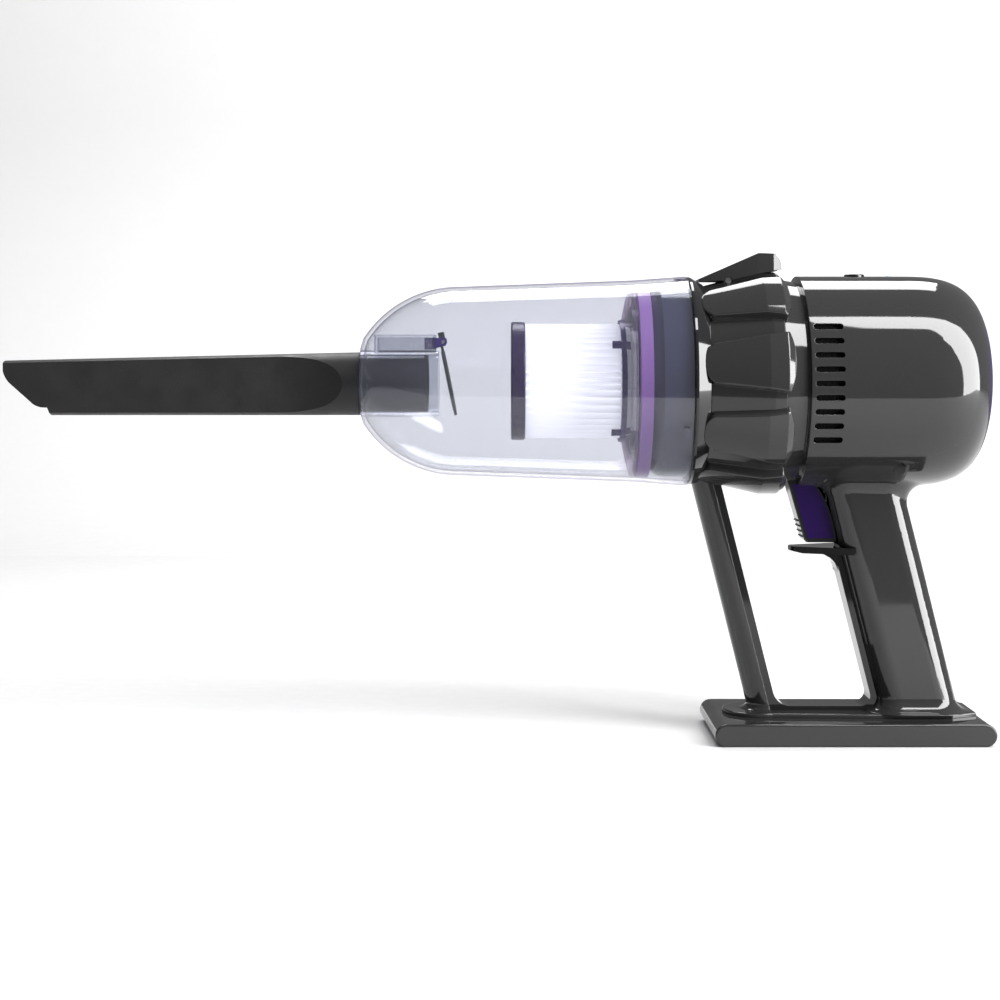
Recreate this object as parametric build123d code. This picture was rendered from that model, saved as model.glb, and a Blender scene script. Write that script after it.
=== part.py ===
from build123d import *
import math
import os

# Cordless stick vacuum in its handheld form. Millimetres. The origin is the centre of the
# base's underside, +Z is up, +X points to the rear, and the nozzle points to -X.
# The moulded halves part at y = 0; "left" is the -Y side.

# ---------------------------------------------------------------- driving dimensions
AXIS_Z = 176.0  # height of the motor, filter and bin axis
WALL = 2.0  # usual wall of a moulded shell
GAP = 0.3  # running gap between pieces that move past each other
SCREW_R = 1.3  # shank of every self-tapping screw
HEAD_R = 2.7

# handle loop: everything in it leans back at one slope
LEAN = 0.25  # sideways travel per unit of height
BASE_LENGTH = 135.8
BASE_WIDTH = 72.0
BASE_HEIGHT = 10.9
FLANGE_TOP = 12.9
GRIP_LENGTH = 39.0  # horizontal section, front to rear
GRIP_WIDTH = 33.0
GRIP_CORNER = 11.0
GRIP_FOOT_X = 36.4  # centre of the grip's section where it stands on the flange
STRUT_FOOT_X = -37.9  # flat back of the strut at the flange
STRUT_DEPTH = 10.0
STRUT_HALF = 11.0
TRIM_HALF = 8.0

# motor housing
BARREL_R = 52.2
BARREL_WALL = 2.2
NECK_R = 51.2  # the neck tapers from this radius ...
NECK_REAR_R = 49.2  # ... to this one, where the barrel steps up
SPIGOT_R = 49.4
SPIGOT_X = -44.0
NECK_X = -35.8
STEP_X = -24.6
ROUND_X = 24.0  # the barrel starts to close here
ROUND_LENGTH = 45.0
ROUND_POWER = 3.5
CAP_X = 63.7
VENT_X = -15.2
VENT_LENGTH = 14.0
VENT_HEIGHT = 2.7
VENT_PITCH = 6.75
VENT_COUNT = 9

# lobed shroud
LOBE_COUNT = 9
LOBE_R = 57.0
LOBE_FRONT_X = -74.6
LOBE_FRONT_R = 49.8
LOBE_PEAK_X = -44.0
LOBE_END_X = -31.3
SHROUD_FRONT_X = -71.5
SHROUD_FRONT_R = 46.0
SHROUD_R = 52.3
PAD_R = 54.3  # the low lobe under the release lever
PAD_FRONT_R = 46.3

# dust bin
BIN_REAR_X = -79.3
BIN_REAR_R = 52.2
BIN_FRONT_X = -240.75
LUG_ANGLES = (90, 210, 330)
LUG_TURN = 13.0  # degrees between the locked lug and the slot's open end
DUCT_Z = 174.7
DUCT_R = 16.6
DUCT_BORE = 14.6
DUCT_END_X = -202.2
FLAP_PIVOT = (-199.8, 195.5)
FLAP_ANGLE = 11.5  # how far the flap hangs open

# filter and its carrier
FILTER_R = 28.5
PLEATS = 44
NECK_BORE = 37.5
CARRIER_R = 47.8
SEAL_FRONT_X = -104.2
SEAL_REAR_X = -98.2
SEAL_R = 48.15
COLLAR_X = -112.2  # front of the filter's collar

# crevice tool
TOOL_R = 15.75
TOOL_TIP_R = 13.65
TOOL_FRONT_X = -418.6
TOOL_SHOULDER_X = -241.5
TOOL_WALL = 1.8
SPIGOT_TOOL_R = 14.3

# motor
MOTOR_R = 18.0
MOTOR_FRONT_X = -16.0
MOTOR_REAR_X = 32.0
SHAFT_R = 1.6
BEARING_BORE = 1.65
BEARING_R = 4.0
FAN_R = 34.0
DRUM_R = 40.0

# battery
CELL_R = 9.15
CELL_LENGTH = 65.0
CELL_SIDE = 7.6
CELL_OFFSET = 5.2
CELL_START = (32.1, 0, 31.0)

TRIGGER_PIVOT = (-22.5, 129.5)
LEVER_PIVOT = (-58.0, 226.0)
LEVER_EAR = 6.0  # outer face of the ears that carry the lever's pin
LEVER_LUG = 3.6  # half the width of the lug between them
LEVER_SKIRT = 1.6
PIN_R = 1.5
PIN_HOLE_R = 1.56
PIN_HALF = 10.0
MODE_X = 5.5
LED_X = 22.8
BOARD_Z = 212.0
BOARD_THICKNESS = 1.6
SWITCH_RIB = ((0.5, -15.5, 104.0), (3.5, -3.4, 121.0))
JACK_Z = 21.5

# screws through the housing halves: (x, z, length of half the boss)
HOUSING_SCREWS = (
    (22.0, 133.5, 29.0),
    (-30.0, 220.3, 19.0),
    (45.0, 211.0, 34.0),
    (50.0, 145.0, 37.0),
    (33.5, 21.0, 15.4),
)
BASE_SCREWS = [(x, y) for x in (-47.0, 47.0) for y in (-22.0, 22.0)]
FOOT_SCREWS = [(x, y) for x in (30.0, 44.0) for y in (9.0, -9.0)] + [(-42.5, 4.0), (-42.5, -4.0)]

parts = {}


# ---------------------------------------------------------------- helpers
def side_face(*edges):
    """Face in the side view, from edges drawn with (x, z)."""
    return Plane.XZ * make_face(Curve() + list(edges))


def polygon(*points):
    """Face in the side view with straight sides."""
    return Plane.XZ * make_face(Polyline(*points, close=True))


def slab(face, low, high):
    """Side-view face made solid from y = low to y = high."""
    return Pos(0, high, 0) * extrude(face, high - low)


def spin(face, z=AXIS_Z):
    """Solid of revolution about a line along X at height z, from an (x, radius) face."""
    return Pos(0, 0, z) * revolve(face, Axis.X)


def rod(start, end, radius, bore=0.0):
    """Round bar or tube from one point to another."""
    way = Vector(*end) - Vector(*start)
    section = Circle(radius) - Circle(bore) if bore else Circle(radius)
    return extrude(Plane(origin=start, z_dir=way) * section, way.length)


def tube(x0, x1, radius, bore=0.0, z=AXIS_Z):
    return rod((x0, 0, z), (x1, 0, z), radius, bore)


def block(low, high):
    """Box between two opposite corners."""
    size = [b - a for a, b in zip(low, high)]
    return Pos(*low) * Box(*size, align=(Align.MIN, Align.MIN, Align.MIN))


def turn(shape, degrees):
    """Turn a shape about the barrel's axis; 0 is the +Y side and 90 is the top."""
    return shape.rotate(Axis((0, 0, AXIS_Z), (1, 0, 0)), degrees)


def lean_x(x, z, foot=FLANGE_TOP):
    """X at height z of a line of the handle loop that stands at x on the flange."""
    return x - LEAN * (z - foot)


def leaning(section, z0, z1):
    """Horizontal section, drawn where it stands on the flange, made solid from z0 to z1."""
    start = Pos(lean_x(0, z0), 0, z0) * section
    return extrude(start, (z1 - z0) * math.hypot(1, LEAN), dir=(-LEAN, 0, 1))


def coil(start, end, radius, wire, turns):
    """Compression spring between two points."""
    way = Vector(*end) - Vector(*start)
    length = way.length - 2 * wire
    plane = Plane(origin=Vector(*start) + way.normalized() * wire, z_dir=way)
    path = plane * Helix(length / turns, length, radius)
    section = Plane(origin=path @ 0, z_dir=path % 0) * Circle(wire)
    return sweep(section, path)


def halves(shape):
    """Split a shape at the vacuum's middle plane; returns the -Y and +Y halves."""
    box = shape.bounding_box()
    low = (box.min.X - 1, box.min.Y - 1, box.min.Z - 1)
    high = (box.max.X + 1, box.max.Y + 1, box.max.Z + 1)
    left = shape & block(low, (high[0], 0, high[2]))
    right = shape & block((low[0], 0, low[2]), high)
    return left, right


# ---------------------------------------------------------------- outlines
def round_radius(x, radius, length):
    """Radius of the closing rear of the barrel, a superellipse."""
    share = (x - ROUND_X) / length
    return radius * (1 - share**ROUND_POWER) ** (1 / ROUND_POWER)


def rear_curve(x0, x1, inset, steps=9):
    """Smooth outline of the barrel's rear between two stations, moved inwards by inset."""
    radius, length = BARREL_R - inset, ROUND_LENGTH - inset
    stations = [x0 + (x1 - x0) * i / steps for i in range(steps + 1)]
    return Spline(*[(x, round_radius(x, radius, length)) for x in stations])


def barrel_solid(inset):
    """The whole motor barrel filled solid, with its skin moved inwards by inset."""
    end_r = round_radius(CAP_X, BARREL_R - inset, ROUND_LENGTH - inset)
    front = Polyline(
        (CAP_X, end_r),
        (CAP_X, 0),
        (SPIGOT_X, 0),
        (SPIGOT_X, SPIGOT_R - inset),
        (NECK_X, SPIGOT_R - inset),
        (NECK_X, NECK_R - inset),
        (STEP_X, NECK_REAR_R - inset),
        (STEP_X + 0.6, BARREL_R - inset),
        (ROUND_X, BARREL_R - inset),
    )
    return spin(side_face(front, rear_curve(ROUND_X, CAP_X, inset)))


def grip_section(inset):
    plan = RectangleRounded(GRIP_LENGTH - 2 * inset, GRIP_WIDTH - 2 * inset, GRIP_CORNER - inset)
    return Pos(GRIP_FOOT_X, 0, 0) * plan


def flared(solid, radius, pick):
    """Spread the foot of an upright solid where it stands on the flange."""
    plate = block((-90, -50, FLANGE_TOP - 3), (90, 50, FLANGE_TOP))
    whole = solid + plate
    ring = []
    for edge in whole.edges():
        middle = edge.center()
        level = edge.bounding_box().max.Z - FLANGE_TOP
        if abs(level) < 0.01 and abs(middle.X) < 80 and abs(middle.Y) < 40 and pick(middle):
            ring.append(edge)
    whole = fillet(ring, radius)
    return whole & block((-90, -50, FLANGE_TOP), (90, 50, 200))


# ---------------------------------------------------------------- handle loop and base
def make_base():
    middle = Pos(0, BASE_HEIGHT / 2)
    side = BASE_WIDTH / 2
    outer = slab(Plane.XZ * (middle * SlotOverall(BASE_LENGTH, BASE_HEIGHT)), -side, side)
    rims = [e for e in outer.edges() if abs(abs(e.center().Y) - side) < 0.01]
    outer = fillet(rims, 1.0)
    hollow = SlotOverall(BASE_LENGTH - 2 * WALL, BASE_HEIGHT - 2 * WALL)
    shell = outer - slab(Plane.XZ * (middle * hollow), WALL - side, side - WALL)
    plate_x, plate_y = 54.0, 28.0
    shell -= block((-plate_x, -plate_y, -1), (plate_x, plate_y, WALL + 1))
    plate = block((-plate_x + GAP, -plate_y + GAP, 0), (plate_x - GAP, plate_y - GAP, WALL))
    plate = fillet(plate.edges().filter_by(Axis.Z), 3.0)
    sunk = 0.4  # depth of the screw heads below the underside
    screws = []
    for x, y in BASE_SCREWS:
        shell += rod((x, y, WALL), (x, y, BASE_HEIGHT - WALL + 0.5), 3.4)
        shell -= rod((x, y, WALL), (x, y, BASE_HEIGHT - WALL), SCREW_R)
        shank = rod((x, y, WALL), (x, y, 8.0), SCREW_R)
        screws.append(rod((x, y, sunk), (x, y, WALL), HEAD_R) + shank)
        plate -= rod((x, y, -1), (x, y, WALL), HEAD_R)
    foot = []
    roof_z = BASE_HEIGHT - WALL
    for x, y in FOOT_SCREWS:
        shank = rod((x, y, roof_z), (x, y, 16.0), SCREW_R)
        foot.append(rod((x, y, roof_z - 1.5), (x, y, roof_z), HEAD_R) + shank)
        shell -= rod((x, y, 8.0), (x, y, BASE_HEIGHT + 1), SCREW_R)
    parts["base_left"], parts["base_right"] = halves(shell)
    parts["base_plate"] = plate
    parts["base_screws"] = screws
    parts["foot_screws"] = foot
    return foot


def make_flange(foot):
    """Low foot that joins the strut and the grip and sits on the base."""
    nose = ThreePointArc((-38, -18), (-60.4, 0), (-38, 18))
    rear = Polyline((-38, 18), (8, 20), (50, 20), (63.2, 13.5), (63.2, -13.5), (50, -20))
    sides = rear + Polyline((50, -20), (8, -20), (-38, -18))
    plan = make_face(Curve() + [nose] + sides.edges())
    flange = extrude(Pos(0, 0, BASE_HEIGHT) * plan, FLANGE_TOP - BASE_HEIGHT)
    flange = fillet(flange.edges().group_by(Axis.Z)[-1], 0.8)
    for screw in foot:
        flange -= screw
    parts["foot_flange"] = flange


def make_strut(shroud, foot):
    """Hollow half-round strut that carries the front of the shroud."""

    def section(inset):
        plan = Ellipse(STRUT_DEPTH - inset, STRUT_HALF - inset) & (
            Pos(-STRUT_DEPTH / 2 - inset, 0) * Rectangle(STRUT_DEPTH, 4 * STRUT_HALF)
        )
        return Pos(STRUT_FOOT_X, 0) * plan

    strut = leaning(section(0), FLANGE_TOP, 140)
    strut -= leaning(section(WALL), FLANGE_TOP + WALL, 112)
    strut = flared(strut, 3.0, lambda middle: middle.X < STRUT_FOOT_X - 1)
    strut = strut - shroud - collar_form() - tube(-95, -78.9, 60)
    strut = strut.solids().sort_by(Axis.Z)[0]
    for screw in foot:
        strut -= screw
    parts["front_strut"] = strut


def make_trim():
    """Inner skin of the loop: down the strut, along the foot and up the grip."""
    rear_x = STRUT_FOOT_X + 4.0
    front_x = GRIP_FOOT_X - GRIP_LENGTH / 2
    top_z = 138.0  # inside the shroud, which trims it
    rise_z = 90.5
    floor_z = FLANGE_TOP + 2.0
    inner = FilletPolyline(
        (lean_x(rear_x, top_z), top_z),
        (lean_x(rear_x, floor_z), floor_z),
        (lean_x(front_x - 3.0, floor_z), floor_z),
        (lean_x(front_x - 3.0, rise_z), rise_z),
        radius=[9.0, 5.0],
    )
    outer = FilletPolyline(
        (lean_x(front_x, rise_z), rise_z),
        (lean_x(front_x, FLANGE_TOP), FLANGE_TOP),
        (lean_x(STRUT_FOOT_X, FLANGE_TOP), FLANGE_TOP),
        (lean_x(STRUT_FOOT_X, top_z), top_z),
        radius=[0.4, 0.4],
    )
    ends = [Line(inner @ 1, outer @ 0), Line(outer @ 1, inner @ 0)]
    return slab(side_face(inner, outer, *ends), -TRIM_HALF, TRIM_HALF)


def make_guard(grip, trim):
    """Tongue that keeps the fingers below the trigger, with its root on the trim."""
    low, high = 90.5, 93.8
    plan = make_face(
        Curve()
        + [
            ThreePointArc((-25.5, -5.5), (-27.5, 0), (-25.5, 5.5)),
            Polyline((-25.5, 5.5), (-19, 8.5), (-4, 15.2), (2.5, 17.6), (2.5, -17.6)),
            Polyline((2.5, -17.6), (-4, -15.2), (-19, -8.5), (-25.5, -5.5)),
        ]
    )
    plate = extrude(Pos(0, 0, low) * plan, high - low)
    plate -= slab(polygon((-30, 92.3), (-21.0, low - 0.1), (-30, low - 0.1)), -20, 20)
    root = [(-4.0, low), (-14.5, low)]
    for angle in (20, 40, 60, 80):
        share = math.radians(angle)
        root.append((-14.5 + 10.6 * math.sin(share), 81.0 + 9.5 * math.cos(share)))
    plate += slab(polygon(*root, (-4.0, 81.0)), -TRIM_HALF + 1, TRIM_HALF - 1)
    plate = plate - trim
    parts["finger_guard"] = plate - grip


# ---------------------------------------------------------------- motor housing with grip
def trigger_outline():
    """Side outline of the trigger: front edge, sole, curved rear edge and hub side."""
    front = Polyline((-26.5, 132.0), (-29.0, 126.5), (-20.6, 97.2), (-19.4, 96.0))
    sole = Polyline((-19.4, 96.0), (-5.6, 96.0), (-4.8, 97.0))
    rear = ThreePointArc((-4.8, 97.0), (-8.0, 111.5), (-14.5, 124.0))
    hub = Polyline((-14.5, 124.0), (-18.5, 132.0), (-26.5, 132.0))
    return side_face(front, sole, rear, hub)


def make_housing(foot):
    """Barrel and grip as one moulding, split left and right at y = 0."""
    grip = leaning(grip_section(0), FLANGE_TOP, 150)
    grip = flared(grip, 7.0, lambda middle: middle.Z > 0)
    barrel = barrel_solid(0)
    whole = barrel + grip
    axis_line = Vector(0, 0, AXIS_Z)

    def on_barrel(edge):
        spots = [edge @ t - axis_line for t in (0.1, 0.5, 0.9)]
        return all(
            abs(math.hypot(p.Y, p.Z) - BARREL_R) < 0.3 and abs(p.Y) < 17 and p.Z < -40 and p.X > -20
            for p in spots
        )

    seam = [e for e in whole.edges() if on_barrel(e) and e.length < 60]
    whole = fillet(seam, 9.0)
    hollow_grip = leaning(grip_section(WALL), FLANGE_TOP + WALL, 135)
    shell = whole - barrel_solid(BARREL_WALL) - hollow_grip

    # vents, the same row on both sides
    for i in range(VENT_COUNT):
        z = AXIS_Z - 1 + VENT_PITCH * (i - (VENT_COUNT - 1) / 2)
        slot = slab(Plane.XZ * (Pos(VENT_X, z) * SlotOverall(VENT_LENGTH, VENT_HEIGHT)), -60, 60)
        shell -= slot

    # trigger opening, and ears for its pin
    x, z = TRIGGER_PIVOT
    ears = block((x - 4.5, -11, z - 5), (x + 4.5, 11, z + 4))
    shell += ears & tube(SPIGOT_X, 0, NECK_REAR_R - 0.5)
    shell -= block((-31.6, -8.1, 94.5), (-1.5, 8.1, 140))
    shell -= rod((x, -PIN_HALF, z), (x, PIN_HALF, z), PIN_HOLE_R)

    # rib behind the trigger switch, and posts that hold the control board down
    shell += block(*SWITCH_RIB)
    deck = BOARD_Z + BOARD_THICKNESS
    for low_y, high_y in ((-14, -9), (9, 14)):
        shell += block((-2.0, low_y, deck), (0.5, high_y, 225.2))
        shell += block((30.0, low_y, deck), (32.0, high_y, 225.0))

    # screw bosses
    inside = barrel_solid(0.8) + leaning(grip_section(0.8), FLANGE_TOP, 60)
    screws = []
    for x, z, half in HOUSING_SCREWS:
        shell += rod((x, -half, z), (x, half, z), 3.5) & inside
        shell -= rod((x, -half + 3, z), (x, 60, z), SCREW_R)
        shell -= rod((x, half - 4, z), (x, 60, z), HEAD_R)
        shank = rod((x, -half + 3, z), (x, half - 4, z), SCREW_R)
        screws.append(rod((x, half - 4, z), (x, half - 2, z), HEAD_R) + shank)
    plug_x, plug_z, _ = HOUSING_SCREWS[0]
    plug_y = -math.sqrt(BARREL_R**2 - (plug_z - AXIS_Z) ** 2) - 1.0
    plug_end = -HOUSING_SCREWS[0][2] - 0.6
    shell -= rod((plug_x, plug_y - 9, plug_z), (plug_x, plug_end, plug_z), 2.9)
    parts["screw_plug"] = rod((plug_x, plug_y + 0.2, plug_z), (plug_x, plug_end, plug_z), 2.9)

    # button, lamp and charging socket
    shell -= rod((MODE_X, 0, 220), (MODE_X, 0, 240), 5.4)
    shell -= rod((LED_X, 0, 220), (LED_X, 0, 240), 1.2)
    shell -= rod((40, 0, JACK_Z), (70, 0, JACK_Z), 4.5)
    for screw in foot:
        shell -= screw
    left, right = halves(shell)
    parts["housing_left"] = left
    parts["housing_right"] = right
    parts["housing_screws"] = screws
    socket = tube(41, 53.6, 4.5, z=JACK_Z) - tube(44, 60, 2.75, z=JACK_Z)
    parts["charge_socket"] = socket + tube(42, 52, 1.0, z=JACK_Z)
    return grip


def dome_points(inset, steps=8):
    """Points of the superellipse from the cap's rim to the barrel's axis."""
    radius, length = BARREL_R - inset, ROUND_LENGTH - inset
    first = math.acos(((CAP_X - ROUND_X) / length) ** (ROUND_POWER / 2))
    points = []
    for i in range(steps):
        angle = first * (1 - i / steps)
        x = ROUND_X + length * math.cos(angle) ** (2 / ROUND_POWER)
        points.append((x, radius * math.sin(angle) ** (2 / ROUND_POWER)))
    return points + [(ROUND_X + length, 0)]


def make_rear_cap():
    """Coloured cap that closes the barrel, with a lip inside the opening."""
    outer = dome_points(0)
    inner = dome_points(BARREL_WALL)
    ends = [Line(outer[-1], inner[-1]), Line(inner[0], outer[0])]
    skin = side_face(Spline(*outer), Spline(*inner[::-1]), *ends)
    cap = spin(skin)
    lip_r = inner[0][1] - 0.1
    cap += tube(CAP_X - 4, CAP_X + 0.4, lip_r, lip_r - 1.6)
    parts["rear_cap"] = cap


# ---------------------------------------------------------------- shroud, collar and lever
def shroud_radius(x):
    """Outer radius of the shroud's valleys at a station."""
    share = (x - SHROUD_FRONT_X) / (-41.0 - SHROUD_FRONT_X)
    return SHROUD_FRONT_R + (SHROUD_R - SHROUD_FRONT_R) * min(share, 1.0)


def lobe(top_r, front_r, half_front, half_rear):
    """One lobe of the shroud at the +Y side, crowned across its width."""
    crown = 16.0  # the crown's centre line, measured out from the barrel's axis
    envelope = polygon(
        (-80, 0),
        (-80, front_r - crown - 0.5),
        (LOBE_FRONT_X, front_r - crown),
        (LOBE_PEAK_X, top_r - crown),
        (LOBE_END_X - 3.9, top_r - crown),
        (LOBE_END_X - 0.8, top_r - 2.2 - crown),
        (LOBE_END_X, top_r - 4.6 - crown),
        (LOBE_END_X, 0),
    )
    body = Pos(0, crown, AXIS_Z) * revolve(envelope, Axis.X)
    nose = ThreePointArc((-69.5, -half_front), (LOBE_FRONT_X, 0), (-69.5, half_front))
    tail = ThreePointArc((LOBE_END_X - 3.0, half_rear), (LOBE_END_X, 0), (LOBE_END_X - 3.0, -half_rear))
    plan = make_face(
        Curve() + [nose, Line(nose @ 1, tail @ 0), tail, Line(tail @ 1, nose @ 0)]
    )
    wedge = extrude(Plane(origin=(0, 40, AXIS_Z), x_dir=(1, 0, 0), z_dir=(0, 1, 0)) * plan, 40)
    shape = body & wedge
    top_edges = [e for e in shape.edges() if e.center().Y > front_r - 4]
    return fillet(top_edges, 0.9)


def shroud_form():
    """The shroud filled solid: a cone with eight lobes and the low pad for the lever."""
    cone = polygon(
        (SHROUD_FRONT_X - 1, 0),
        (SHROUD_FRONT_X - 1, shroud_radius(SHROUD_FRONT_X - 1)),
        (-41.0, SHROUD_R),
        (NECK_X + 0.2, SHROUD_R),
        (NECK_X + 0.2, 0),
    )
    form = spin(cone)
    bump = lobe(LOBE_R, LOBE_FRONT_R, 9.6, 14.6)
    for i in range(1, LOBE_COUNT):
        form += turn(bump, 90 + i * 360 / LOBE_COUNT)
    return form + turn(lobe(PAD_R, PAD_FRONT_R, 5.2, 7.4), 90)


def make_shroud(form):
    """Lobed ring that joins the collar to the motor housing."""
    room = polygon(
        (-90, 0),
        (-90, SHROUD_FRONT_R - 2.2),
        (SHROUD_FRONT_X, SHROUD_FRONT_R - 2.2),
        (SPIGOT_X, SPIGOT_R + 0.05),
        (NECK_X, SPIGOT_R + 0.05),
        (NECK_X, NECK_R + 0.05),
        (0, NECK_R + 0.05),
        (0, 0),
    )
    x, z = LEVER_PIVOT
    ears = rod((x, -LEVER_EAR, z), (x, LEVER_EAR, z), 2.8)
    ears += block((x - 2.8, -LEVER_EAR, z - 6), (x + 2.8, LEVER_EAR, z))
    shroud = form + ears - spin(room) - collar_form()
    slot = LEVER_LUG + GAP
    shroud -= block((x - 4, -slot, 210), (x + 4, slot, 260))
    shroud -= rod((x, -PIN_HALF, z), (x, PIN_HALF, z), PIN_HOLE_R)
    shroud -= rod((-45, 0, AXIS_Z + SPIGOT_R + 1.6), (-45, 0, 260), 3.0)
    return shroud


def collar_form():
    """The collar ring filled solid."""
    return spin(
        polygon(
            (-78.8, 0),
            (-78.8, 51.4),
            (-78.3, 51.9),
            (-77.2, 51.8),
            (-71.2, 48.3),
            (-70.9, 47.7),
            (-70.9, 43.7),
            (-62, 43.7),
            (-62, 0),
        )
    )


def lever_plan(inset):
    """Plan of the lever, widening to the rear, moved inwards by inset."""
    front, wide, rear = 6.6 - inset, 9.6 - inset, 7.8 - inset
    side = [(-76, front), (-44, wide), (-36, wide), (-31, rear)]
    other = [(x, -y) for x, y in side[::-1]]
    return extrude(Pos(0, 0, 200) * make_face(Polyline(*side, *other, close=True)), 60)


def make_lever():
    """Rocker on top of the shroud: its rear is pressed and its nose lifts off the bin."""
    x, z = LEVER_PIVOT
    crown = [
        (-72.6, AXIS_Z + 49.6),
        (-73.0, AXIS_Z + 50.6),
        (-43.5, AXIS_Z + 63.4),
        (-35.2, AXIS_Z + 63.1),
        (-32.6, AXIS_Z + 59.6),
    ]
    deck = polygon(*crown, (-31.9, AXIS_Z + 57.2), (-42.0, AXIS_Z + 57.4), (x + 2.0, AXIS_Z + 52.4))
    hem = [(-31.9, AXIS_Z + 55.4), (-36.0, AXIS_Z + 54.6), (-44.0, AXIS_Z + 52.9), (x, AXIS_Z + 49.6)]
    skirt = polygon(*crown, *hem)
    wide = 10.5
    lever = slab(skirt, -wide, wide) & (lever_plan(0) - lever_plan(LEVER_SKIRT))
    lever += slab(deck, -wide, wide) & lever_plan(0)
    lever -= rod((x, -LEVER_EAR - GAP, z), (x, LEVER_EAR + GAP, z), 3.3)
    lug = rod((x, -LEVER_LUG, z), (x, LEVER_LUG, z), 2.9)
    lever += lug + block((x - 2.9, -LEVER_LUG, z), (x + 2.9, LEVER_LUG, z + 5))
    lever -= rod((x, -wide, z), (x, wide, z), PIN_HOLE_R)
    lever -= rod((-45, 0, AXIS_Z + 50), (-45, 0, AXIS_Z + 59.5), 3.0)
    parts["release_lever"] = lever
    spring_start = (-45, 0, AXIS_Z + SPIGOT_R + 1.7)
    parts["release_spring"] = coil(spring_start, (-45, 0, AXIS_Z + 59.4), 2.2, 0.35, 4)
    tx, tz = TRIGGER_PIVOT
    long, short = PIN_HALF - 0.1, LEVER_EAR - 0.1
    parts["pivot_pins"] = [
        rod((x, -short, z), (x, short, z), PIN_R),
        rod((tx, -long, tz), (tx, long, tz), PIN_R),
    ]


# ---------------------------------------------------------------- controls
def make_trigger():
    x, z = TRIGGER_PIVOT
    half = 7.5
    body = slab(trigger_outline(), -half, half)
    rims = [e for e in body.edges() if abs(abs(e.center().Y) - half) < 0.1]
    body = fillet([e for e in rims if e.center().X < -18 and e.center().Z < 127], 0.7)
    body += rod((x, -half, z), (x, half, z), 3.4)
    for i in range(4):
        tooth_z = 98.6 + 2.6 * i
        edge_x = -20.6 - (tooth_z - 97.2) * 8.4 / 29.3
        tip, low, high = (edge_x - 0.9, tooth_z), (edge_x + 0.6, tooth_z - 0.4), (edge_x + 0.4, tooth_z + 1.6)
        body += slab(polygon(tip, low, high), -5, 5)
    body -= rod((x, -12, z), (x, 12, z), PIN_HOLE_R)
    panel = side_face(
        Polyline((-16.2, 125.0), (-26.4, 125.0), (-18.9, 98.0), (-5.9, 98.0)),
        ThreePointArc((-5.9, 98.0), (-9.4, 113.0), (-16.2, 125.0)),
    )
    panel -= Plane.XZ * (Pos(x, z) * Circle(3.9))
    inlays = [slab(panel, -7.6, -6.8), slab(panel, 6.8, 7.6)]
    for inlay in inlays:
        body -= inlay
    parts["trigger"] = body
    parts["trigger_inlays"] = inlays
    switch = block((-1.0, -3.3, 103.0), (5.4, 3.0, 115.8)) + block((-1.9, -1.5, 107.5), (-1.0, 1.5, 109.5))
    parts["trigger_switch"] = switch - block(*SWITCH_RIB)
    parts["trigger_spring"] = coil((-9.6, 0, 118.5), (-0.6, 0, 118.5), 2.3, 0.35, 5)


def make_top_controls():
    parts["control_board"] = block((-4, -13.5, BOARD_Z), (34, 13.5, BOARD_Z + BOARD_THICKNESS))
    deck = BOARD_Z + BOARD_THICKNESS
    parts["tact_switch"] = block((MODE_X - 2.8, -2.8, deck), (MODE_X + 2.8, 2.8, deck + 3.2))
    cap_top = AXIS_Z + BARREL_R + 1.0
    button = rod((MODE_X, 0, 224.0), (MODE_X, 0, cap_top), 5.0)
    button = fillet(button.edges().group_by(Axis.Z)[-1], 0.6)
    button += rod((MODE_X, 0, 222.4), (MODE_X, 0, 224.2), 6.2)
    button += rod((MODE_X, 0, deck + 4.2), (MODE_X, 0, 223), 1.8)
    parts["mode_button"] = button
    parts["mode_spring"] = coil((MODE_X, 0, deck + 0.1), (MODE_X, 0, 222.3), 4.6, 0.3, 4)
    lamp = rod((LED_X, 0, deck), (LED_X, 0, AXIS_Z + BARREL_R + 0.5), 1.2)
    parts["status_led"] = fillet(lamp.edges().group_by(Axis.Z)[-1], 0.5)


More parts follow.
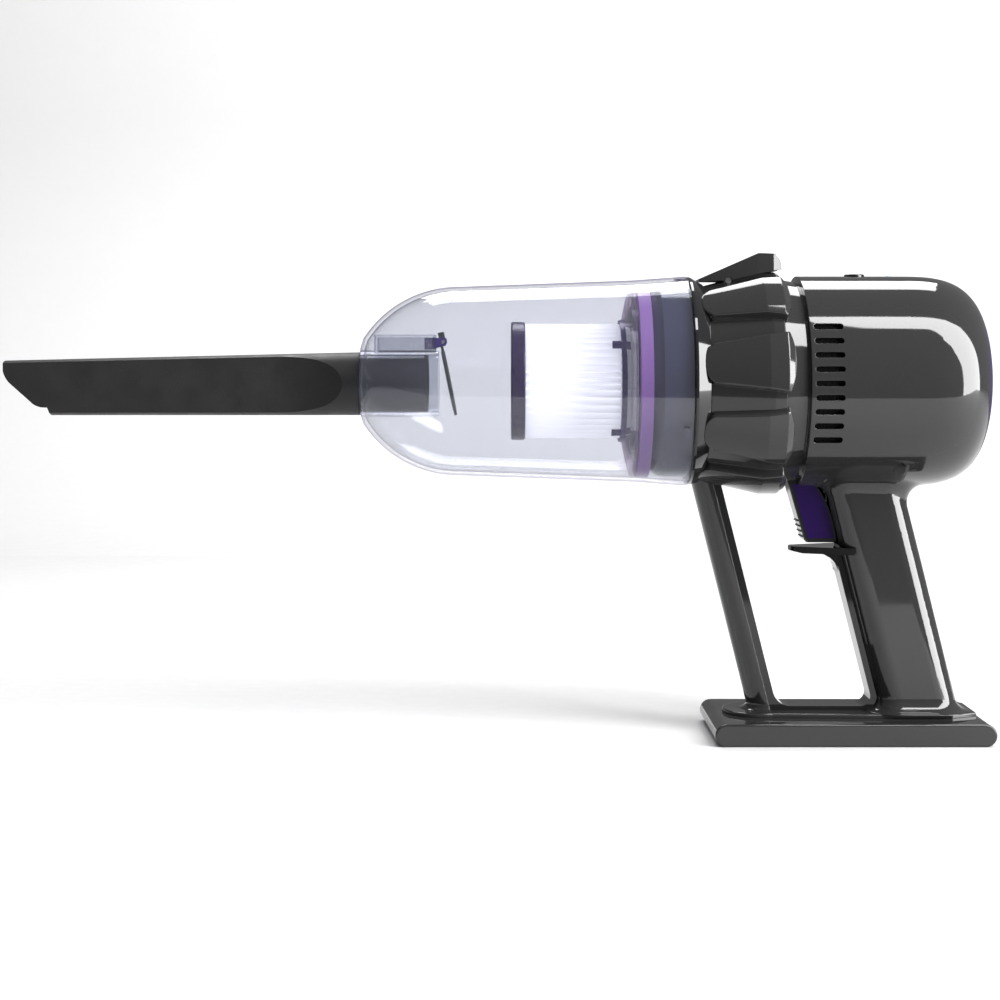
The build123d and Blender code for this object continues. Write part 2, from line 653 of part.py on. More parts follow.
# ---------------------------------------------------------------- motor and fan
def make_motor():
    front, rear = MOTOR_FRONT_X, MOTOR_REAR_X
    can = tube(front, rear, MOTOR_R, MOTOR_R - 1.5) + tube(front, front + 1.5, MOTOR_R, BEARING_R - 1)
    can += tube(front, front + 4.0, BEARING_R + 1.5, BEARING_R)
    parts["motor_can"] = can
    cap = tube(rear, rear + 5, MOTOR_R, BEARING_R) + tube(rear + 4, rear + 5, BEARING_R + 0.5, SHAFT_R + 0.8)
    parts["motor_end_cap"] = cap
    parts["motor_bearings"] = [
        tube(front + 1.5, front + 4.0, BEARING_R, BEARING_BORE),
        tube(rear, rear + 3.0, BEARING_R, BEARING_BORE),
    ]
    arc = tube(front + 8, rear - 8, MOTOR_R - 1.5, MOTOR_R - 3.8)
    wedge = block((front, -40, AXIS_Z - 7), (rear, 40, AXIS_Z + 7))
    parts["motor_magnets"] = [s for s in (arc - wedge).solids()]
    parts["motor_shaft"] = tube(-34.0, rear + 4.5, SHAFT_R)
    core = tube(front + 7, rear - 6, 13.6, SHAFT_R) + tube(rear - 6, rear - 1.5, 5.0, SHAFT_R)
    for i in range(6):
        core -= turn(block((front + 6, 9.0, AXIS_Z - 1.2), (rear - 5, 15, AXIS_Z + 1.2)), i * 60)
    parts["rotor"] = core
    fan = tube(-21.5, -20.0, FAN_R, SHAFT_R) + tube(-31.0, -20.0, 6.0, SHAFT_R)
    for i in range(9):
        blade = block((-31.0, 5.0, AXIS_Z - 0.7), (-21.0, FAN_R - 0.5, AXIS_Z + 0.7))
        blade = blade.rotate(Axis((0, 5.0, AXIS_Z), (1, 0, 0)), 28)
        fan += turn(blade, i * 40)
    parts["impeller"] = fan & tube(-32, -19, FAN_R, SHAFT_R)

    drum = tube(-37.0, -35.0, SPIGOT_R - BARREL_WALL - 1.6, 14.0) + tube(-35.0, -16.0, DRUM_R, DRUM_R - 2)
    drum += tube(-18.0, -16.0, DRUM_R, BEARING_R + 2)
    for i in range(8):
        drum -= turn(block((-19, 25.0, AXIS_Z - 5), (-15, 35.0, AXIS_Z + 5)), i * 45)
    parts["fan_shroud"] = drum
    seal_r = SPIGOT_R - BARREL_WALL
    parts["bulkhead_seal"] = tube(-37.0, -35.8, seal_r, seal_r - 1.6)
    parts["motor_mount"] = tube(22.0, 28.0, MOTOR_R + 3.0, MOTOR_R)
    support = tube(23.0, 27.5, MOTOR_R + 5.2, MOTOR_R + 3.0) + tube(23.0, 27.5, 49.95, 47.4)
    for i in range(4):
        support += turn(block((23.0, MOTOR_R + 4.5, AXIS_Z - 1.5), (27.5, 48.5, AXIS_Z + 1.5)), 45 + 90 * i)
    support -= block((20, -60, BOARD_Z - 6), (40, 60, 260))
    support -= block((20, -60, 100), (40, 60, 138.5))
    parts["motor_support"] = support.solids().sort_by(SortBy.VOLUME)[-1]
    foam = tube(-23.4, -7.0, BARREL_R - BARREL_WALL - 0.1, 45.0)
    foam &= block((-24, -60, AXIS_Z - 33), (0, 60, AXIS_Z + 33))
    parts["exhaust_foam"] = [s for s in foam.solids()]


def make_battery():
    along = Vector(-LEAN, 0, 1).normalized()
    plane = Plane(origin=CELL_START, x_dir=(along.Z, 0, -along.X), z_dir=along)
    cells = []
    for side in (-1, 1):
        spot = Pos(side * CELL_SIDE, side * CELL_OFFSET)
        cells.append(extrude(plane * (spot * Circle(CELL_R)), CELL_LENGTH))
    parts["battery_cells"] = cells
    holder_plan = RectangleRounded(33.4, 28.4, 8.6)
    upper = plane.offset(CELL_LENGTH)
    lid = extrude(upper.offset(0.3) * holder_plan, 3.0)
    parts["cell_holders"] = [extrude(plane * holder_plan, -3.0), lid]
    link_plan = SlotOverall(24, 8)
    angle = math.degrees(math.atan2(CELL_OFFSET, CELL_SIDE))
    parts["cell_links"] = extrude(upper * (Rot(0, 0, angle) * link_plan), 0.3)


def make_leads():
    """Two battery leads up to the board, and two motor leads down to the motor's rear."""
    battery, motor = [], []
    for x in (12.0, 16.5):
        low = [(x, 8, 104.5), (x, 9, 128), (x, 31, 152)]
        high = [(x, 34, 192), (x, 20, 212.8), (x, 13.6, 212.8)]
        path = FilletPolyline(*low, *high, radius=5.0)
        battery.append(sweep(Plane(origin=path @ 0, z_dir=path % 0) * Circle(0.9), path))
    for y in (-6.0, 6.0):
        bends = [(34.6, y, 212.6), (39.0, y, 206.0), (41.8, y, 190.0), (37.7, y, 184.0)]
        path = FilletPolyline(*bends, radius=3.0)
        motor.append(sweep(Plane(origin=path @ 0, z_dir=path % 0) * Circle(0.9), path))
    parts["battery_leads"] = battery
    parts["motor_leads"] = motor


# ---------------------------------------------------------------- bin, inlet and filter
def make_bin():
    outer_front = ThreePointArc((-196.0, 46.9), (-222.0, 38.6), (-239.5, 21.5))
    inner_front = ThreePointArc((-196.0, 44.9), (-220.7, 37.0), (-237.6, 20.4))
    mouth_x = BIN_FRONT_X + WALL
    face = side_face(
        Polyline((BIN_REAR_X, BIN_REAR_R - WALL), (BIN_REAR_X, BIN_REAR_R)),
        Polyline((BIN_REAR_X, BIN_REAR_R), (-104.5, 50.3), (-196.0, 46.9)),
        outer_front,
        Polyline((-239.5, 21.5), (BIN_FRONT_X, 17.6), (BIN_FRONT_X, 0)),
        Polyline((BIN_FRONT_X, 0), (mouth_x, 0), (mouth_x, 17.0), (-237.6, 20.4)),
        inner_front,
        Polyline((-196.0, 44.9), (-104.5, 48.3), (BIN_REAR_X, BIN_REAR_R - WALL)),
    )
    shell = spin(face)
    shell -= tube(-245, -230, DUCT_R, z=DUCT_Z)
    groove = tube(-84.4, -80.2, 51.2, 45.0)
    entry = tube(-81.0, -70.0, 51.2, 45.0)
    for angle in LUG_ANGLES:
        locked = angle_sector(angle - 4.2, angle + LUG_TURN + 4.2)
        mouth = angle_sector(angle + LUG_TURN - 4.2, angle + LUG_TURN + 4.2)
        shell -= groove & locked
        shell -= entry & mouth
    parts["dust_bin"] = shell


def angle_sector(start, end):
    """Wide wedge about the barrel's axis between two angles, near the bin's rim."""
    reach = 80.0
    middle = (start + end) / 2
    points = [(0, 0)]
    for a in (start, middle, end):
        points.append((reach * math.cos(math.radians(a)), reach * math.sin(math.radians(a))))
    across = Plane(origin=(-90, 0, AXIS_Z), x_dir=(0, 1, 0), z_dir=(1, 0, 0))
    return extrude(across * make_face(Polyline(*points, close=True)), 25)


def make_inlet():
    duct = tube(BIN_FRONT_X, DUCT_END_X, DUCT_R, DUCT_BORE, z=DUCT_Z)
    channel = block((-234, -7, 186), (-203.4, 7, 199)) - block((-232.4, -5.6, 180), (-200, 5.6, 197.6))
    channel -= tube(-240, -200, DUCT_R - 0.5, z=DUCT_Z)
    parts["inlet_duct"] = duct + channel
    px, pz = FLAP_PIVOT
    hinge = block((-209, -5.6, 191.8), (-203.6, 5.6, 197.6))
    rear = [(px + 1.4, 197.4), (px + 1.8, 195.5), (px + 1.0, 193.8)]
    ear = polygon((-206, 192.6), (-206, 197.4), *rear, (-203, 192.6))
    hinge += slab(ear, -5.6, -4.0) + slab(ear, 4.0, 5.6)
    hinge -= rod((px, -8, pz), (px, 8, pz), 0.8)
    swing = rod((px, -3.9, pz), (px, 3.9, pz), 5.6)
    parts["inlet_duct"] -= swing
    parts["flap_hinge"] = hinge - swing
    parts["flap_pin"] = rod((px, -5.6, pz), (px, 5.6, pz), 0.8)

    # the flap, drawn shut against the duct and then turned to where it hangs
    front_x = DUCT_END_X + 0.6
    plate_plan = make_face(
        Curve()
        + [
            ThreePointArc((-14.5, 172.0), (0, 158.4), (14.5, 172.0)),
            Polyline((14.5, 172.0), (14.5, 188.0), (11.5, 191.0), (3.6, 191.0), (3.6, 195.0)),
            Line((3.6, 195.0), (-3.6, 195.0)),
            Polyline((-3.6, 195.0), (-3.6, 191.0), (-11.5, 191.0), (-14.5, 188.0), (-14.5, 172.0)),
        ]
    )
    across = Plane(origin=(front_x, 0, 0), x_dir=(0, 1, 0), z_dir=(1, 0, 0))
    flap = extrude(across * plate_plan, 1.2)
    flap += slab(Plane.XZ * (Pos(px, pz) * Circle(1.7)), -3.6, 3.6)
    flap += block((front_x, -3.6, 195.0), (px + 1.2, 3.6, 200.4))
    flap -= rod((px, -8, pz), (px, 8, pz), 0.87)
    parts["inlet_flap"] = flap.rotate(Axis((px, 0, pz), (0, -1, 0)), FLAP_ANGLE)


def make_filter():
    rear_x = SEAL_FRONT_X - 0.4
    cap = tube(-166.0, -159.0, 29.5)
    cap = fillet(cap.edges(), 1.0)
    parts["filter_cap"] = cap
    points = []
    for i in range(PLEATS):
        for radius, shift in ((FILTER_R, 0.0), (22.6, 0.5)):
            angle = math.radians((i + shift) * 360 / PLEATS)
            points.append((radius * math.cos(angle), radius * math.sin(angle)))
    plan = make_face(Polyline(*points, close=True)) - Circle(21.4)
    ring = Plane(origin=(-159.0, 0, AXIS_Z), x_dir=(0, 1, 0), z_dir=(1, 0, 0)) * plan
    parts["filter_pleats"] = extrude(ring, COLLAR_X + 159.0)
    core = tube(-159.0, COLLAR_X, 21.4, 19.6)
    for i in range(6):
        core -= turn(block((-155, 15, AXIS_Z - 5), (-138, 25, AXIS_Z + 5)), i * 60)
        core -= turn(block((-134, 15, AXIS_Z - 5), (-117, 25, AXIS_Z + 5)), i * 60)
    parts["filter_core"] = core
    collar = tube(COLLAR_X, rear_x, 30.5, 20.5) + tube(rear_x, rear_x + 5.8, NECK_BORE - GAP, 33.0)
    collar += tube(rear_x - 2.0, rear_x, NECK_BORE - GAP, 25.0)
    for angle in (142, 240, 38, 300):
        peg = rod((COLLAR_X - 4.5, 28.6, AXIS_Z), (COLLAR_X + 0.5, 28.6, AXIS_Z), 2.2)
        peg -= tube(COLLAR_X - 6, COLLAR_X, FILTER_R + 0.2)
        collar += turn(peg, angle)
    parts["filter_collar"] = collar
    parts["filter_flange"] = spin(
        polygon(
            (rear_x - 5.8, 30.5),
            (rear_x - 5.8, 32.5),
            (rear_x - 4.0, 41.0),
            (rear_x - 2.0, 47.9),
            (rear_x - 0.8, 47.9),
            (rear_x - 0.8, 47.2),
            (rear_x - 2.6, 40.5),
            (rear_x - 4.4, 32.0),
            (rear_x - 4.4, 30.5),
        )
    )


def make_carrier():
    carrier = spin(
        polygon(
            (SEAL_FRONT_X, NECK_BORE),
            (SEAL_FRONT_X, 40.0),
            (SEAL_REAR_X, 40.0),
            (SEAL_REAR_X, 44.0),
            (SEAL_REAR_X + 5.2, CARRIER_R),
            (-79.0, CARRIER_R),
            (-79.0, 41.6),
            (-76.0, 41.6),
            (-76.0, 39.6),
            (-81.0, 39.6),
            (-81.0, CARRIER_R - 2.4),
            (SEAL_REAR_X + 6.2, CARRIER_R - 2.4),
            (SEAL_REAR_X + 3.0, 41.0),
            (SEAL_REAR_X + 3.0, NECK_BORE),
        )
    )
    lug = tube(-83.6, -81.0, 50.9, CARRIER_R - 0.6)
    for angle in LUG_ANGLES:
        carrier += lug & angle_sector(angle - 3.4, angle + 3.4)
    parts["filter_carrier"] = carrier
    parts["bin_seal"] = tube(SEAL_FRONT_X, SEAL_REAR_X, SEAL_R, 40.0)
    parts["motor_foam"] = tube(-88.0, -81.0, CARRIER_R - 2.4)


# ---------------------------------------------------------------- crevice tool
def tool_solid(inset, front_x, rear_x):
    """Tapered round bar with two flat sides, its skin moved inwards by inset."""

    def station(x):
        share = (x - TOOL_SHOULDER_X) / (TOOL_FRONT_X - TOOL_SHOULDER_X)
        radius = TOOL_R + (TOOL_TIP_R - TOOL_R) * share - inset
        height = 174.65 - 2.05 * share
        return Plane(origin=(x, 0, height), x_dir=(0, 1, 0), z_dir=(1, 0, 0)) * Circle(radius)

    bar = loft([station(rear_x), station(front_x)], ruled=True)
    reach, root, tip = 16.0 - inset, 6.4 - inset, 5.8 - inset
    fair = 8.7 - inset
    plan = make_face(
        Curve()
        + [
            Polyline((-248.5, reach), (-230, reach), (-230, -reach), (-248.5, -reach)),
            ThreePointArc((-248.5, -reach), (-266, -fair), (-284, -root)),
            Polyline((-284, -root), (front_x - 1, -tip), (front_x - 1, tip), (-284, root)),
            ThreePointArc((-284, root), (-266, fair), (-248.5, reach)),
        ]
    )
    return bar & extrude(Pos(0, 0, 150) * plan, 50)


def make_tool():
    outer = tool_solid(0, TOOL_FRONT_X, TOOL_SHOULDER_X)
    inner = tool_solid(TOOL_WALL, TOOL_FRONT_X - 5, TOOL_SHOULDER_X - 3)
    spigot = tube(TOOL_SHOULDER_X - 3, -207.5, SPIGOT_TOOL_R, SPIGOT_TOOL_R - TOOL_WALL, z=DUCT_Z)
    tool = outer - inner
    tool -= tube(TOOL_SHOULDER_X - 4, -200, SPIGOT_TOOL_R - TOOL_WALL, z=DUCT_Z)
    tool += spigot
    front = TOOL_FRONT_X
    mouth = side_face(
        Polyline((front - 2, 190), (front, 190), (front, 181)),
        ThreePointArc((front, 181.0), (front + 1.3, 177.6), (front + 3.9, 174.4)),
        Line((front + 3.9, 174.4), (front + 13.5, 165.9)),
        ThreePointArc((front + 13.5, 165.9), (front + 16.7, 163.6), (front + 20.1, 162.8)),
        Polyline((front + 20.1, 162.8), (front + 22, 162.8), (front + 23.2, 160.0)),
        Polyline((front + 23.2, 160.0), (front + 23.2, 150), (front - 2, 150), (front - 2, 190)),
    )
    parts["crevice_tool"] = tool - slab(mouth, -20, 20)


# ---------------------------------------------------------------- assembly
foot_screws = make_base()
make_flange(foot_screws)
grip_body = make_housing(foot_screws)
collar_ring = collar_form() - tube(-80, -60, 41.6)
filled_shroud = shroud_form()
lobed_shroud = make_shroud(filled_shroud)
make_strut(filled_shroud, foot_screws)
trim_strip = make_trim()
make_guard(grip_body, trim_strip)
trim_strip = trim_strip - parts["front_strut"] - grip_body - filled_shroud
parts["inner_trim"] = trim_strip.solids().sort_by(SortBy.VOLUME)[-1]
parts["collar_ring"] = collar_ring
parts["lobed_shroud"] = lobed_shroud
make_rear_cap()
make_lever()
make_trigger()
make_top_controls()
make_motor()
make_battery()
make_leads()
make_bin()
make_inlet()
make_filter()
make_carrier()
make_tool()

os.makedirs("parts", exist_ok=True)
for name, shape in parts.items():
    solids = shape if isinstance(shape, list) else shape.solids()
    solids = [s for piece in solids for s in piece.solids()]
    export_step(Compound(solids) if len(solids) > 1 else solids[0], f"parts/{name}.step")
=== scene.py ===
import math

import bpy
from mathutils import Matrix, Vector


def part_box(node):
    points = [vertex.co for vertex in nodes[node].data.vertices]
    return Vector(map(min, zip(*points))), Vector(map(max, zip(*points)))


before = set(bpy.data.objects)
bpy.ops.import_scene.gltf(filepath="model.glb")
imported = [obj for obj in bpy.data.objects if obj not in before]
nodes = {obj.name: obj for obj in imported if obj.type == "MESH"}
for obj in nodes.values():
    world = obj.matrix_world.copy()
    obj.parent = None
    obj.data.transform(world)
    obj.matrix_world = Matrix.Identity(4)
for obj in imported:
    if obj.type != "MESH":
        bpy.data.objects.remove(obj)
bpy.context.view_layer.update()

# ------------------------------------------------------------ places taken from the frame
bin_low, bin_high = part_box("dust_bin")
AXIS_Z = (bin_low.z + bin_high.z) / 2  # height of the barrel, filter and bin axis


# ------------------------------------------------------------ node helpers for materials
def new_material(name):
    """Empty node material with its output; returns (material, node tree, Principled node)."""
    material = bpy.data.materials.new(name)
    material.use_nodes = True
    tree = material.node_tree
    shader = tree.nodes["Principled BSDF"]
    return material, tree, shader


def add(tree, kind, inputs=None, **settings):
    """One node with its settings and plain input values."""
    node = tree.nodes.new(kind)
    for key, value in settings.items():
        setattr(node, key, value)
    for key, value in (inputs or {}).items():
        node.inputs[key].default_value = value
    return node


def object_space(tree, scale=(1, 1, 1)):
    """Texture coordinates in the object's own space, which rides with its body."""
    coords = add(tree, "ShaderNodeTexCoord")
    mapping = add(tree, "ShaderNodeMapping", {"Scale": scale})
    tree.links.new(coords.outputs["Object"], mapping.inputs["Vector"])
    return mapping.outputs["Vector"]


def noise(tree, vector, scale, detail=3.0, roughness=0.5):
    node = add(tree, "ShaderNodeTexNoise", {"Scale": scale, "Detail": detail, "Roughness": roughness})
    tree.links.new(vector, node.inputs["Vector"])
    return node.outputs["Fac"]


def ramp(tree, value, low, high, start=0.0, end=1.0):
    """Value mapped from one range to another and kept inside it."""
    limits = {"From Min": start, "From Max": end, "To Min": low, "To Max": high}
    node = add(tree, "ShaderNodeMapRange", limits)
    tree.links.new(value, node.inputs["Value"])
    return node.outputs["Result"]


def blend_colours(tree, value, first, second):
    node = add(tree, "ShaderNodeMix", data_type="RGBA")
    node.inputs["A"].default_value = (*first, 1)
    node.inputs["B"].default_value = (*second, 1)
    tree.links.new(value, node.inputs["Factor"])
    return node.outputs["Result"]


def bump(tree, height, strength, distance):
    node = add(tree, "ShaderNodeBump", {"Strength": strength, "Distance": distance})
    tree.links.new(height, node.inputs["Height"])
    return node.outputs["Normal"]


def soft_edges(tree, shader, radius):
    """Edges catch the light as if slightly rounded."""
    edge = add(tree, "ShaderNodeBevel", {"Radius": radius}, samples=4)
    tree.links.new(edge.outputs["Normal"], shader.inputs["Normal"])


# ------------------------------------------------------------ materials
def moulded(name, colour, roughness, variation=0.12, grain=0.0, grain_scale=900.0, specular=0.5):
    """Moulded plastic: slight cloudiness in colour and gloss, and an optional fine grain."""
    material, tree, shader = new_material(name)
    vector = object_space(tree)
    cloud = noise(tree, vector, 28.0, 4.0)
    dark = tuple(c * (1 - variation) for c in colour)
    light = tuple(min(1.0, c * (1 + variation)) for c in colour)
    tree.links.new(blend_colours(tree, cloud, dark, light), shader.inputs["Base Color"])
    haze = noise(tree, vector, 90.0, 2.0)
    rough = ramp(tree, haze, roughness * 0.85, roughness * 1.15, 0.3, 0.7)
    tree.links.new(rough, shader.inputs["Roughness"])
    shader.inputs["Specular IOR Level"].default_value = specular
    if grain:
        fine = noise(tree, vector, grain_scale, 2.0)
        tree.links.new(bump(tree, fine, grain, 0.0002), shader.inputs["Normal"])
    return material


def graphite(name, colour):
    """Polished graphite moulding with a faint metallic fleck under a smooth skin."""
    material, tree, shader = new_material(name)
    vector = object_space(tree)
    cloud = noise(tree, vector, 14.0, 3.0)
    fleck = noise(tree, vector, 2600.0, 2.0, 0.7)
    base = blend_colours(tree, cloud, tuple(c * 0.94 for c in colour), tuple(c * 1.06 for c in colour))
    lit = add(tree, "ShaderNodeMix", data_type="RGBA", blend_type="ADD")
    lit.inputs["B"].default_value = (0.006, 0.006, 0.0062, 1)
    tree.links.new(base, lit.inputs["A"])
    tree.links.new(ramp(tree, fleck, 0.0, 1.0, 0.55, 0.8), lit.inputs["Factor"])
    tree.links.new(lit.outputs["Result"], shader.inputs["Base Color"])
    haze = noise(tree, vector, 60.0, 3.0)
    tree.links.new(ramp(tree, haze, 0.035, 0.07, 0.3, 0.7), shader.inputs["Roughness"])
    soft_edges(tree, shader, 0.0005)
    return material


def metal(name, colour, roughness, stretch=(1, 1, 1)):
    """Drawn or brushed metal with fine scratches along one way."""
    material, tree, shader = new_material(name)
    vector = object_space(tree, stretch)
    streak = noise(tree, vector, 700.0, 3.0)
    dark = tuple(c * 0.85 for c in colour)
    tree.links.new(blend_colours(tree, streak, dark, colour), shader.inputs["Base Color"])
    rough = ramp(tree, streak, roughness * 0.7, roughness * 1.3, 0.3, 0.7)
    tree.links.new(rough, shader.inputs["Roughness"])
    shader.inputs["Metallic"].default_value = 1.0
    return material


def clear_plastic(name, tint, edge_tint, haze, haze_colour):
    """Thin clear wall: see-through, darker only where it is seen edge on, with a little haze and gloss."""
    material, tree, shader = new_material(name)
    output = tree.nodes["Material Output"]
    facing = add(tree, "ShaderNodeLayerWeight", {"Blend": 0.5}).outputs["Facing"]
    cloud = noise(tree, object_space(tree), 30.0, 3.0)
    see = add(tree, "ShaderNodeBsdfTransparent")
    edge = ramp(tree, facing, 0.0, 1.0, 0.78, 1.0)
    tree.links.new(blend_colours(tree, edge, tint, edge_tint), see.inputs["Color"])
    shader.inputs["Base Color"].default_value = (*haze_colour, 1)
    tree.links.new(ramp(tree, cloud, 0.3, 0.4, 0.3, 0.7), shader.inputs["Roughness"])
    body = add(tree, "ShaderNodeMixShader", {"Fac": haze})
    tree.links.new(see.outputs["BSDF"], body.inputs[1])
    tree.links.new(shader.outputs["BSDF"], body.inputs[2])
    gloss = add(tree, "ShaderNodeBsdfGlossy", {"Roughness": 0.03})
    steep = add(tree, "ShaderNodeMath", operation="POWER")
    tree.links.new(facing, steep.inputs[0])
    steep.inputs[1].default_value = 5.0
    rim = add(tree, "ShaderNodeMath", operation="MULTIPLY")
    tree.links.new(ramp(tree, steep.outputs["Value"], 0.04, 0.4, 0.0, 0.4), rim.inputs[0])
    tree.links.new(ramp(tree, facing, 1.0, 0.1, 0.9, 0.97), rim.inputs[1])
    skin = add(tree, "ShaderNodeMixShader")
    tree.links.new(rim.outputs["Value"], skin.inputs["Fac"])
    tree.links.new(body.outputs["Shader"], skin.inputs[1])
    tree.links.new(gloss.outputs["BSDF"], skin.inputs[2])
    tree.links.new(skin.outputs["Shader"], output.inputs["Surface"])
    return material


def open_foam(name, colour):
    material, tree, shader = new_material(name)
    vector = object_space(tree)
    cells = add(tree, "ShaderNodeTexVoronoi", {"Scale": 900.0})
    tree.links.new(vector, cells.inputs["Vector"])
    # colour darkest at the cell centres, which the bump below makes hollow: painted shade in the pores
    tree.links.new(blend_colours(tree, cells.outputs["Distance"], tuple(c * 0.4 for c in colour), colour),
                   shader.inputs["Base Color"])
    shader.inputs["Roughness"].default_value = 0.95
    shader.inputs["Specular IOR Level"].default_value = 0.1
    tree.links.new(bump(tree, cells.outputs["Distance"], 0.8, 0.0006), shader.inputs["Normal"])
    return material


# Paper with fibre grain and a painted glow of its own in place of light shining through the folds.
def paper(name, colour):
    material, tree, shader = new_material(name)
    vector = object_space(tree)
    fibres = noise(tree, vector, 1800.0, 5.0, 0.65)
    dark = tuple(c * 0.93 for c in colour)
    tree.links.new(blend_colours(tree, fibres, dark, colour), shader.inputs["Base Color"])
    shader.inputs["Roughness"].default_value = 0.85
    shader.inputs["Emission Color"].default_value = (0.95, 0.95, 1.0, 1)
    shader.inputs["Emission Strength"].default_value = 0.35  # painted glow standing in for light that comes through the folds
    tree.links.new(bump(tree, fibres, 0.25, 0.0001), shader.inputs["Normal"])
    return material


looks = {
    "graphite_gloss": graphite("graphite", (0.018, 0.018, 0.0185)),
    "dark_gloss": moulded("polished_black", (0.008, 0.008, 0.0085), 0.05),
    "tool_matte": moulded("tool_grain", (0.0105, 0.0105, 0.011), 0.5, 0.06, 0.3, 1500.0, 0.35),
    "clear_violet": clear_plastic(
        "clear_wall", (0.885, 0.892, 0.915), (0.62, 0.58, 0.76), 0.02, (0.5, 0.5, 0.62)
    ),
    "smoke_clear": moulded("smoky_wall", (0.03, 0.032, 0.06), 0.12),
    "purple_gloss": moulded("purple_gloss", (0.012, 0.003, 0.045), 0.08, specular=0.35),
    "purple_matte": moulded("purple_satin", (0.012, 0.0015, 0.035), 0.3, 0.08, 0.1, specular=0.3),
    "seal_purple": moulded("seal_rubber", (0.19, 0.085, 0.29), 0.45, 0.08, 0.15),
    "flange_clear": clear_plastic(
        "clear_flange", (0.95, 0.9, 0.95), (0.7, 0.6, 0.75), 0.05, (0.6, 0.5, 0.65)
    ),
    "filter_paper": paper("pleated_paper_painted_glow", (0.9, 0.9, 0.93)),
    "dark_plastic": moulded("dark_moulding", (0.03, 0.03, 0.034), 0.4, 0.1, 0.1),
    "navy_plastic": moulded("navy_moulding", (0.028, 0.012, 0.12), 0.25, 0.1, 0.05, specular=0.35),
    "black_rubber": moulded("black_rubber", (0.014, 0.014, 0.018), 0.5, 0.1, 0.2),
    "foam": open_foam("open_foam", (0.004, 0.004, 0.004)),
    "steel": metal("plain_steel", (0.6, 0.6, 0.61), 0.3, (0.1, 1, 1)),
    "spring_steel": metal("spring_wire", (0.5, 0.5, 0.52), 0.25),
    "magnet": moulded("ferrite", (0.03, 0.03, 0.032), 0.6, 0.2, 0.3),
    "copper_rotor": metal("copper", (0.62, 0.32, 0.16), 0.35, (0.1, 1, 1)),
    "cell_sleeve": moulded("cell_sleeve", (0.02, 0.16, 0.25), 0.3),
    "nickel": metal("nickel_strip", (0.7, 0.68, 0.64), 0.25, (1, 0.1, 1)),
    "board_green": moulded("board", (0.01, 0.12, 0.05), 0.35, 0.25),
    "wire_red": moulded("wire_sleeve", (0.45, 0.02, 0.02), 0.4),
    "lens_clear": clear_plastic("lamp_lens", (0.8, 0.9, 1.0), (0.5, 0.6, 0.8), 0.3, (0.7, 0.8, 0.95)),
}
for node in nodes.values():
    slots = node.material_slots
    for index in range(len(slots)):
        slots[index].material = looks[slots[index].material.name.split(".")[0]]


# ------------------------------------------------------------ studio: floor, lights, camera
def plain_emitter(name, strength, colour=(1, 1, 1)):
    material = bpy.data.materials.new(name)
    material.use_nodes = True
    tree = material.node_tree
    tree.nodes.clear()
    glow = tree.nodes.new("ShaderNodeEmission")
    glow.inputs["Color"].default_value = (*colour, 1)
    glow.inputs["Strength"].default_value = strength
    output = tree.nodes.new("ShaderNodeOutputMaterial")
    tree.links.new(glow.outputs["Emission"], output.inputs["Surface"])
    return material


def sheet_object(name, rows, material, smooth=True):
    """Mesh from rows of points, each row as long as the first, given to the stage."""
    mesh = bpy.data.meshes.new(name)
    width = len(rows[0])
    points = [p for row in rows for p in row]
    faces = []
    for i in range(len(rows) - 1):
        for j in range(width - 1):
            k = i * width + j
            faces.append((k, k + 1, k + width + 1, k + width))
    mesh.from_pydata(points, [], faces)
    mesh.materials.append(material)
    for polygon in mesh.polygons:
        polygon.use_smooth = smooth
    thing = bpy.data.objects.new(name, mesh)
    bpy.context.scene.collection.objects.link(thing)
    return thing


FLOOR_FRONT = -0.55  # the table ends here, towards the camera
SWEEP_START = 0.9
SWEEP_RADIUS = 0.5
SWEEP_TOP = 0.80
SWEEP_STEPS = 12
ACROSS = (-2.2, -1.0, 0.0, 1.0, 2.2)
floor_look = moulded("pale_floor", (0.5, 0.5, 0.502), 0.7, 0.01)
table = [[(x, y, 0.0) for x in ACROSS] for y in (FLOOR_FRONT, 0.0, SWEEP_START)]
sheet_object("floor", table, floor_look)
profile = [(SWEEP_START, 0.0)]
for i in range(1, SWEEP_STEPS + 1):
    angle = math.pi / 2 * i / SWEEP_STEPS
    profile.append((SWEEP_START + SWEEP_RADIUS * math.sin(angle), SWEEP_RADIUS * (1 - math.cos(angle))))
profile.append((SWEEP_START + SWEEP_RADIUS, SWEEP_TOP))
rows = [[(x, y, z) for x in ACROSS] for y, z in profile]
backdrop = sheet_object("backdrop", rows, floor_look)
backdrop.visible_glossy = False

# a curved softbox: over the front of the object, then down its right-hand side
SUN = Vector((0, 0, AXIS_Z))
ARCH = (  # azimuth from -Y towards +X, elevation, half-width, and the band's tilt, in degrees
    (20, 64, 7.5, 90),
    (30, 62, 8.0, 80),
    (42, 50, 11.0, 45),
    (52, 34, 15.0, 22),
    (60, 16, 18.0, 6),
    (62, -4, 19.0, 0),
    (63, -14, 19.0, 0),
)
ARCH_DISTANCE = 1.6


def direction(azimuth, elevation):
    a, e = math.radians(azimuth), math.radians(elevation)
    return Vector((math.sin(a) * math.cos(e), -math.cos(a) * math.cos(e), math.sin(e)))


arch_rows = []
for azimuth, elevation, half, tilt in ARCH:
    centre = direction(azimuth, elevation)
    side = Vector((0, 0, 1)).cross(centre).normalized()
    up = centre.cross(side).normalized()
    across = side * math.cos(math.radians(tilt)) + up * math.sin(math.radians(tilt))
    reach = math.tan(math.radians(half))
    arch_rows.append([SUN + (centre + across * reach * s).normalized() * ARCH_DISTANCE for s in (-1, 0, 1)])
arch = sheet_object("front_softbox", arch_rows, plain_emitter("soft_light", 17.0))
arch.visible_camera = False

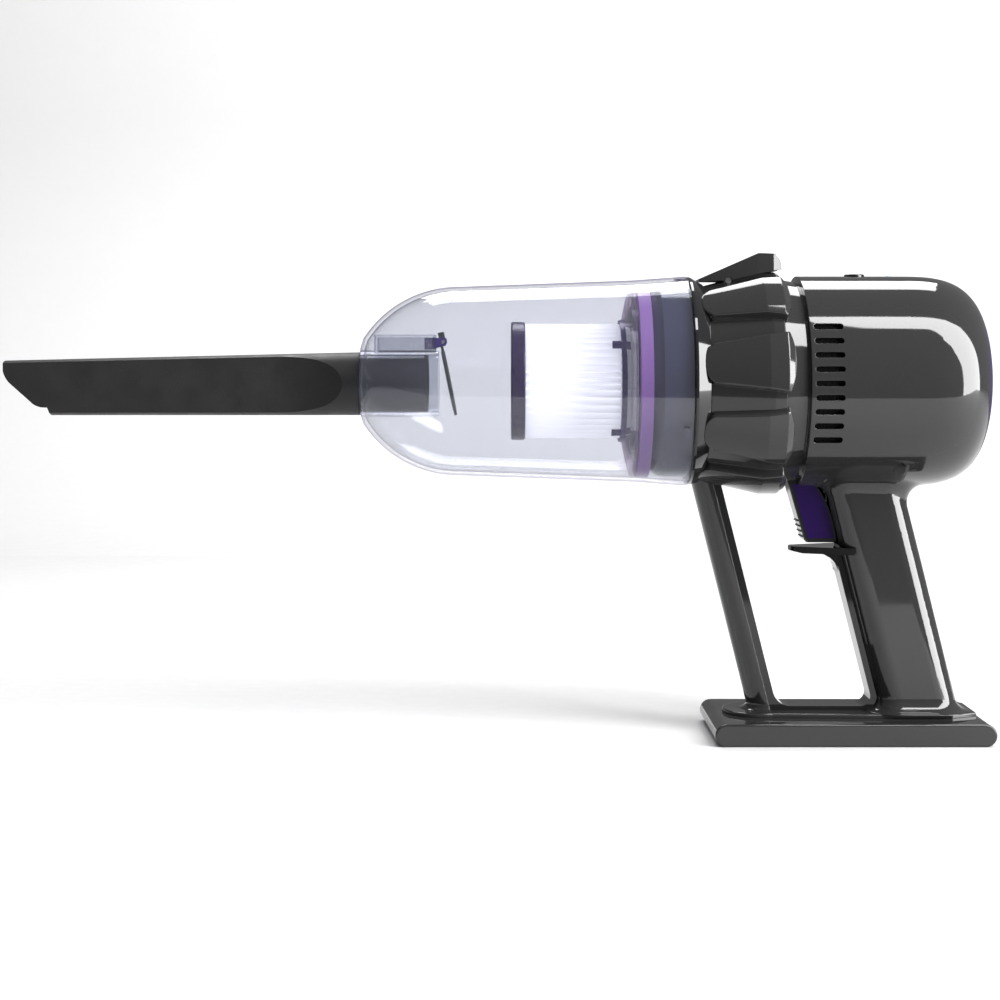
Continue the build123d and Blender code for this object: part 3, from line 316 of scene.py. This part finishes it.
# an overhead strip behind the object
BACK_LOW, BACK_HIGH = 39.0, 62.0
back_rows = []
for elevation in (BACK_LOW, (BACK_LOW + BACK_HIGH) / 2, BACK_HIGH):
    e = math.radians(elevation)
    row = []
    for x in (-0.62, -0.2, 0.2, 0.55):
        row.append(SUN + Vector((x, math.cos(e) * ARCH_DISTANCE, math.sin(e) * ARCH_DISTANCE)))
    back_rows.append(row)
back = sheet_object("rear_softbox", back_rows, plain_emitter("strip_light", 9.0))
back.visible_camera = False

# a broad fill from above that doesn't mirror in the gloss
fill_data = bpy.data.lights.new("fill", "AREA")
fill_data.shape = "RECTANGLE"
fill_data.size = 2.4
fill_data.size_y = 2.0
fill_data.energy = 36.0
fill = bpy.data.objects.new("fill", fill_data)
fill.location = (-0.1, 0.3, 1.8)
fill.visible_glossy = False
bpy.context.scene.collection.objects.link(fill)

world = bpy.data.worlds.new("studio")
bpy.context.scene.world = world
world.use_nodes = True
world_tree = world.node_tree
sky = world_tree.nodes["Background"]
sky.inputs["Color"].default_value = (0.22, 0.22, 0.225, 1)
pale = add(world_tree, "ShaderNodeBackground", {"Color": (0.93, 0.93, 0.935, 1)})
path = add(world_tree, "ShaderNodeLightPath")
choice = add(world_tree, "ShaderNodeMixShader")
world_tree.links.new(path.outputs["Is Camera Ray"], choice.inputs["Fac"])
world_tree.links.new(sky.outputs["Background"], choice.inputs[1])
world_tree.links.new(pale.outputs["Background"], choice.inputs[2])
world_tree.links.new(choice.outputs["Shader"], world_tree.nodes["World Output"].inputs["Surface"])

CAMERA = Vector((-0.169, -0.920, 0.179))
camera_data = bpy.data.cameras.new("camera")
camera_data.lens = 66.24
camera_data.sensor_width = 36.0
camera_data.shift_x = -0.005
camera_data.shift_y = -0.125
camera = bpy.data.objects.new("camera", camera_data)
camera.location = CAMERA
camera.rotation_euler = (math.pi / 2, 0, 0)
bpy.context.scene.collection.objects.link(camera)
bpy.context.scene.camera = camera
bpy.context.scene.view_settings.view_transform = "Standard"
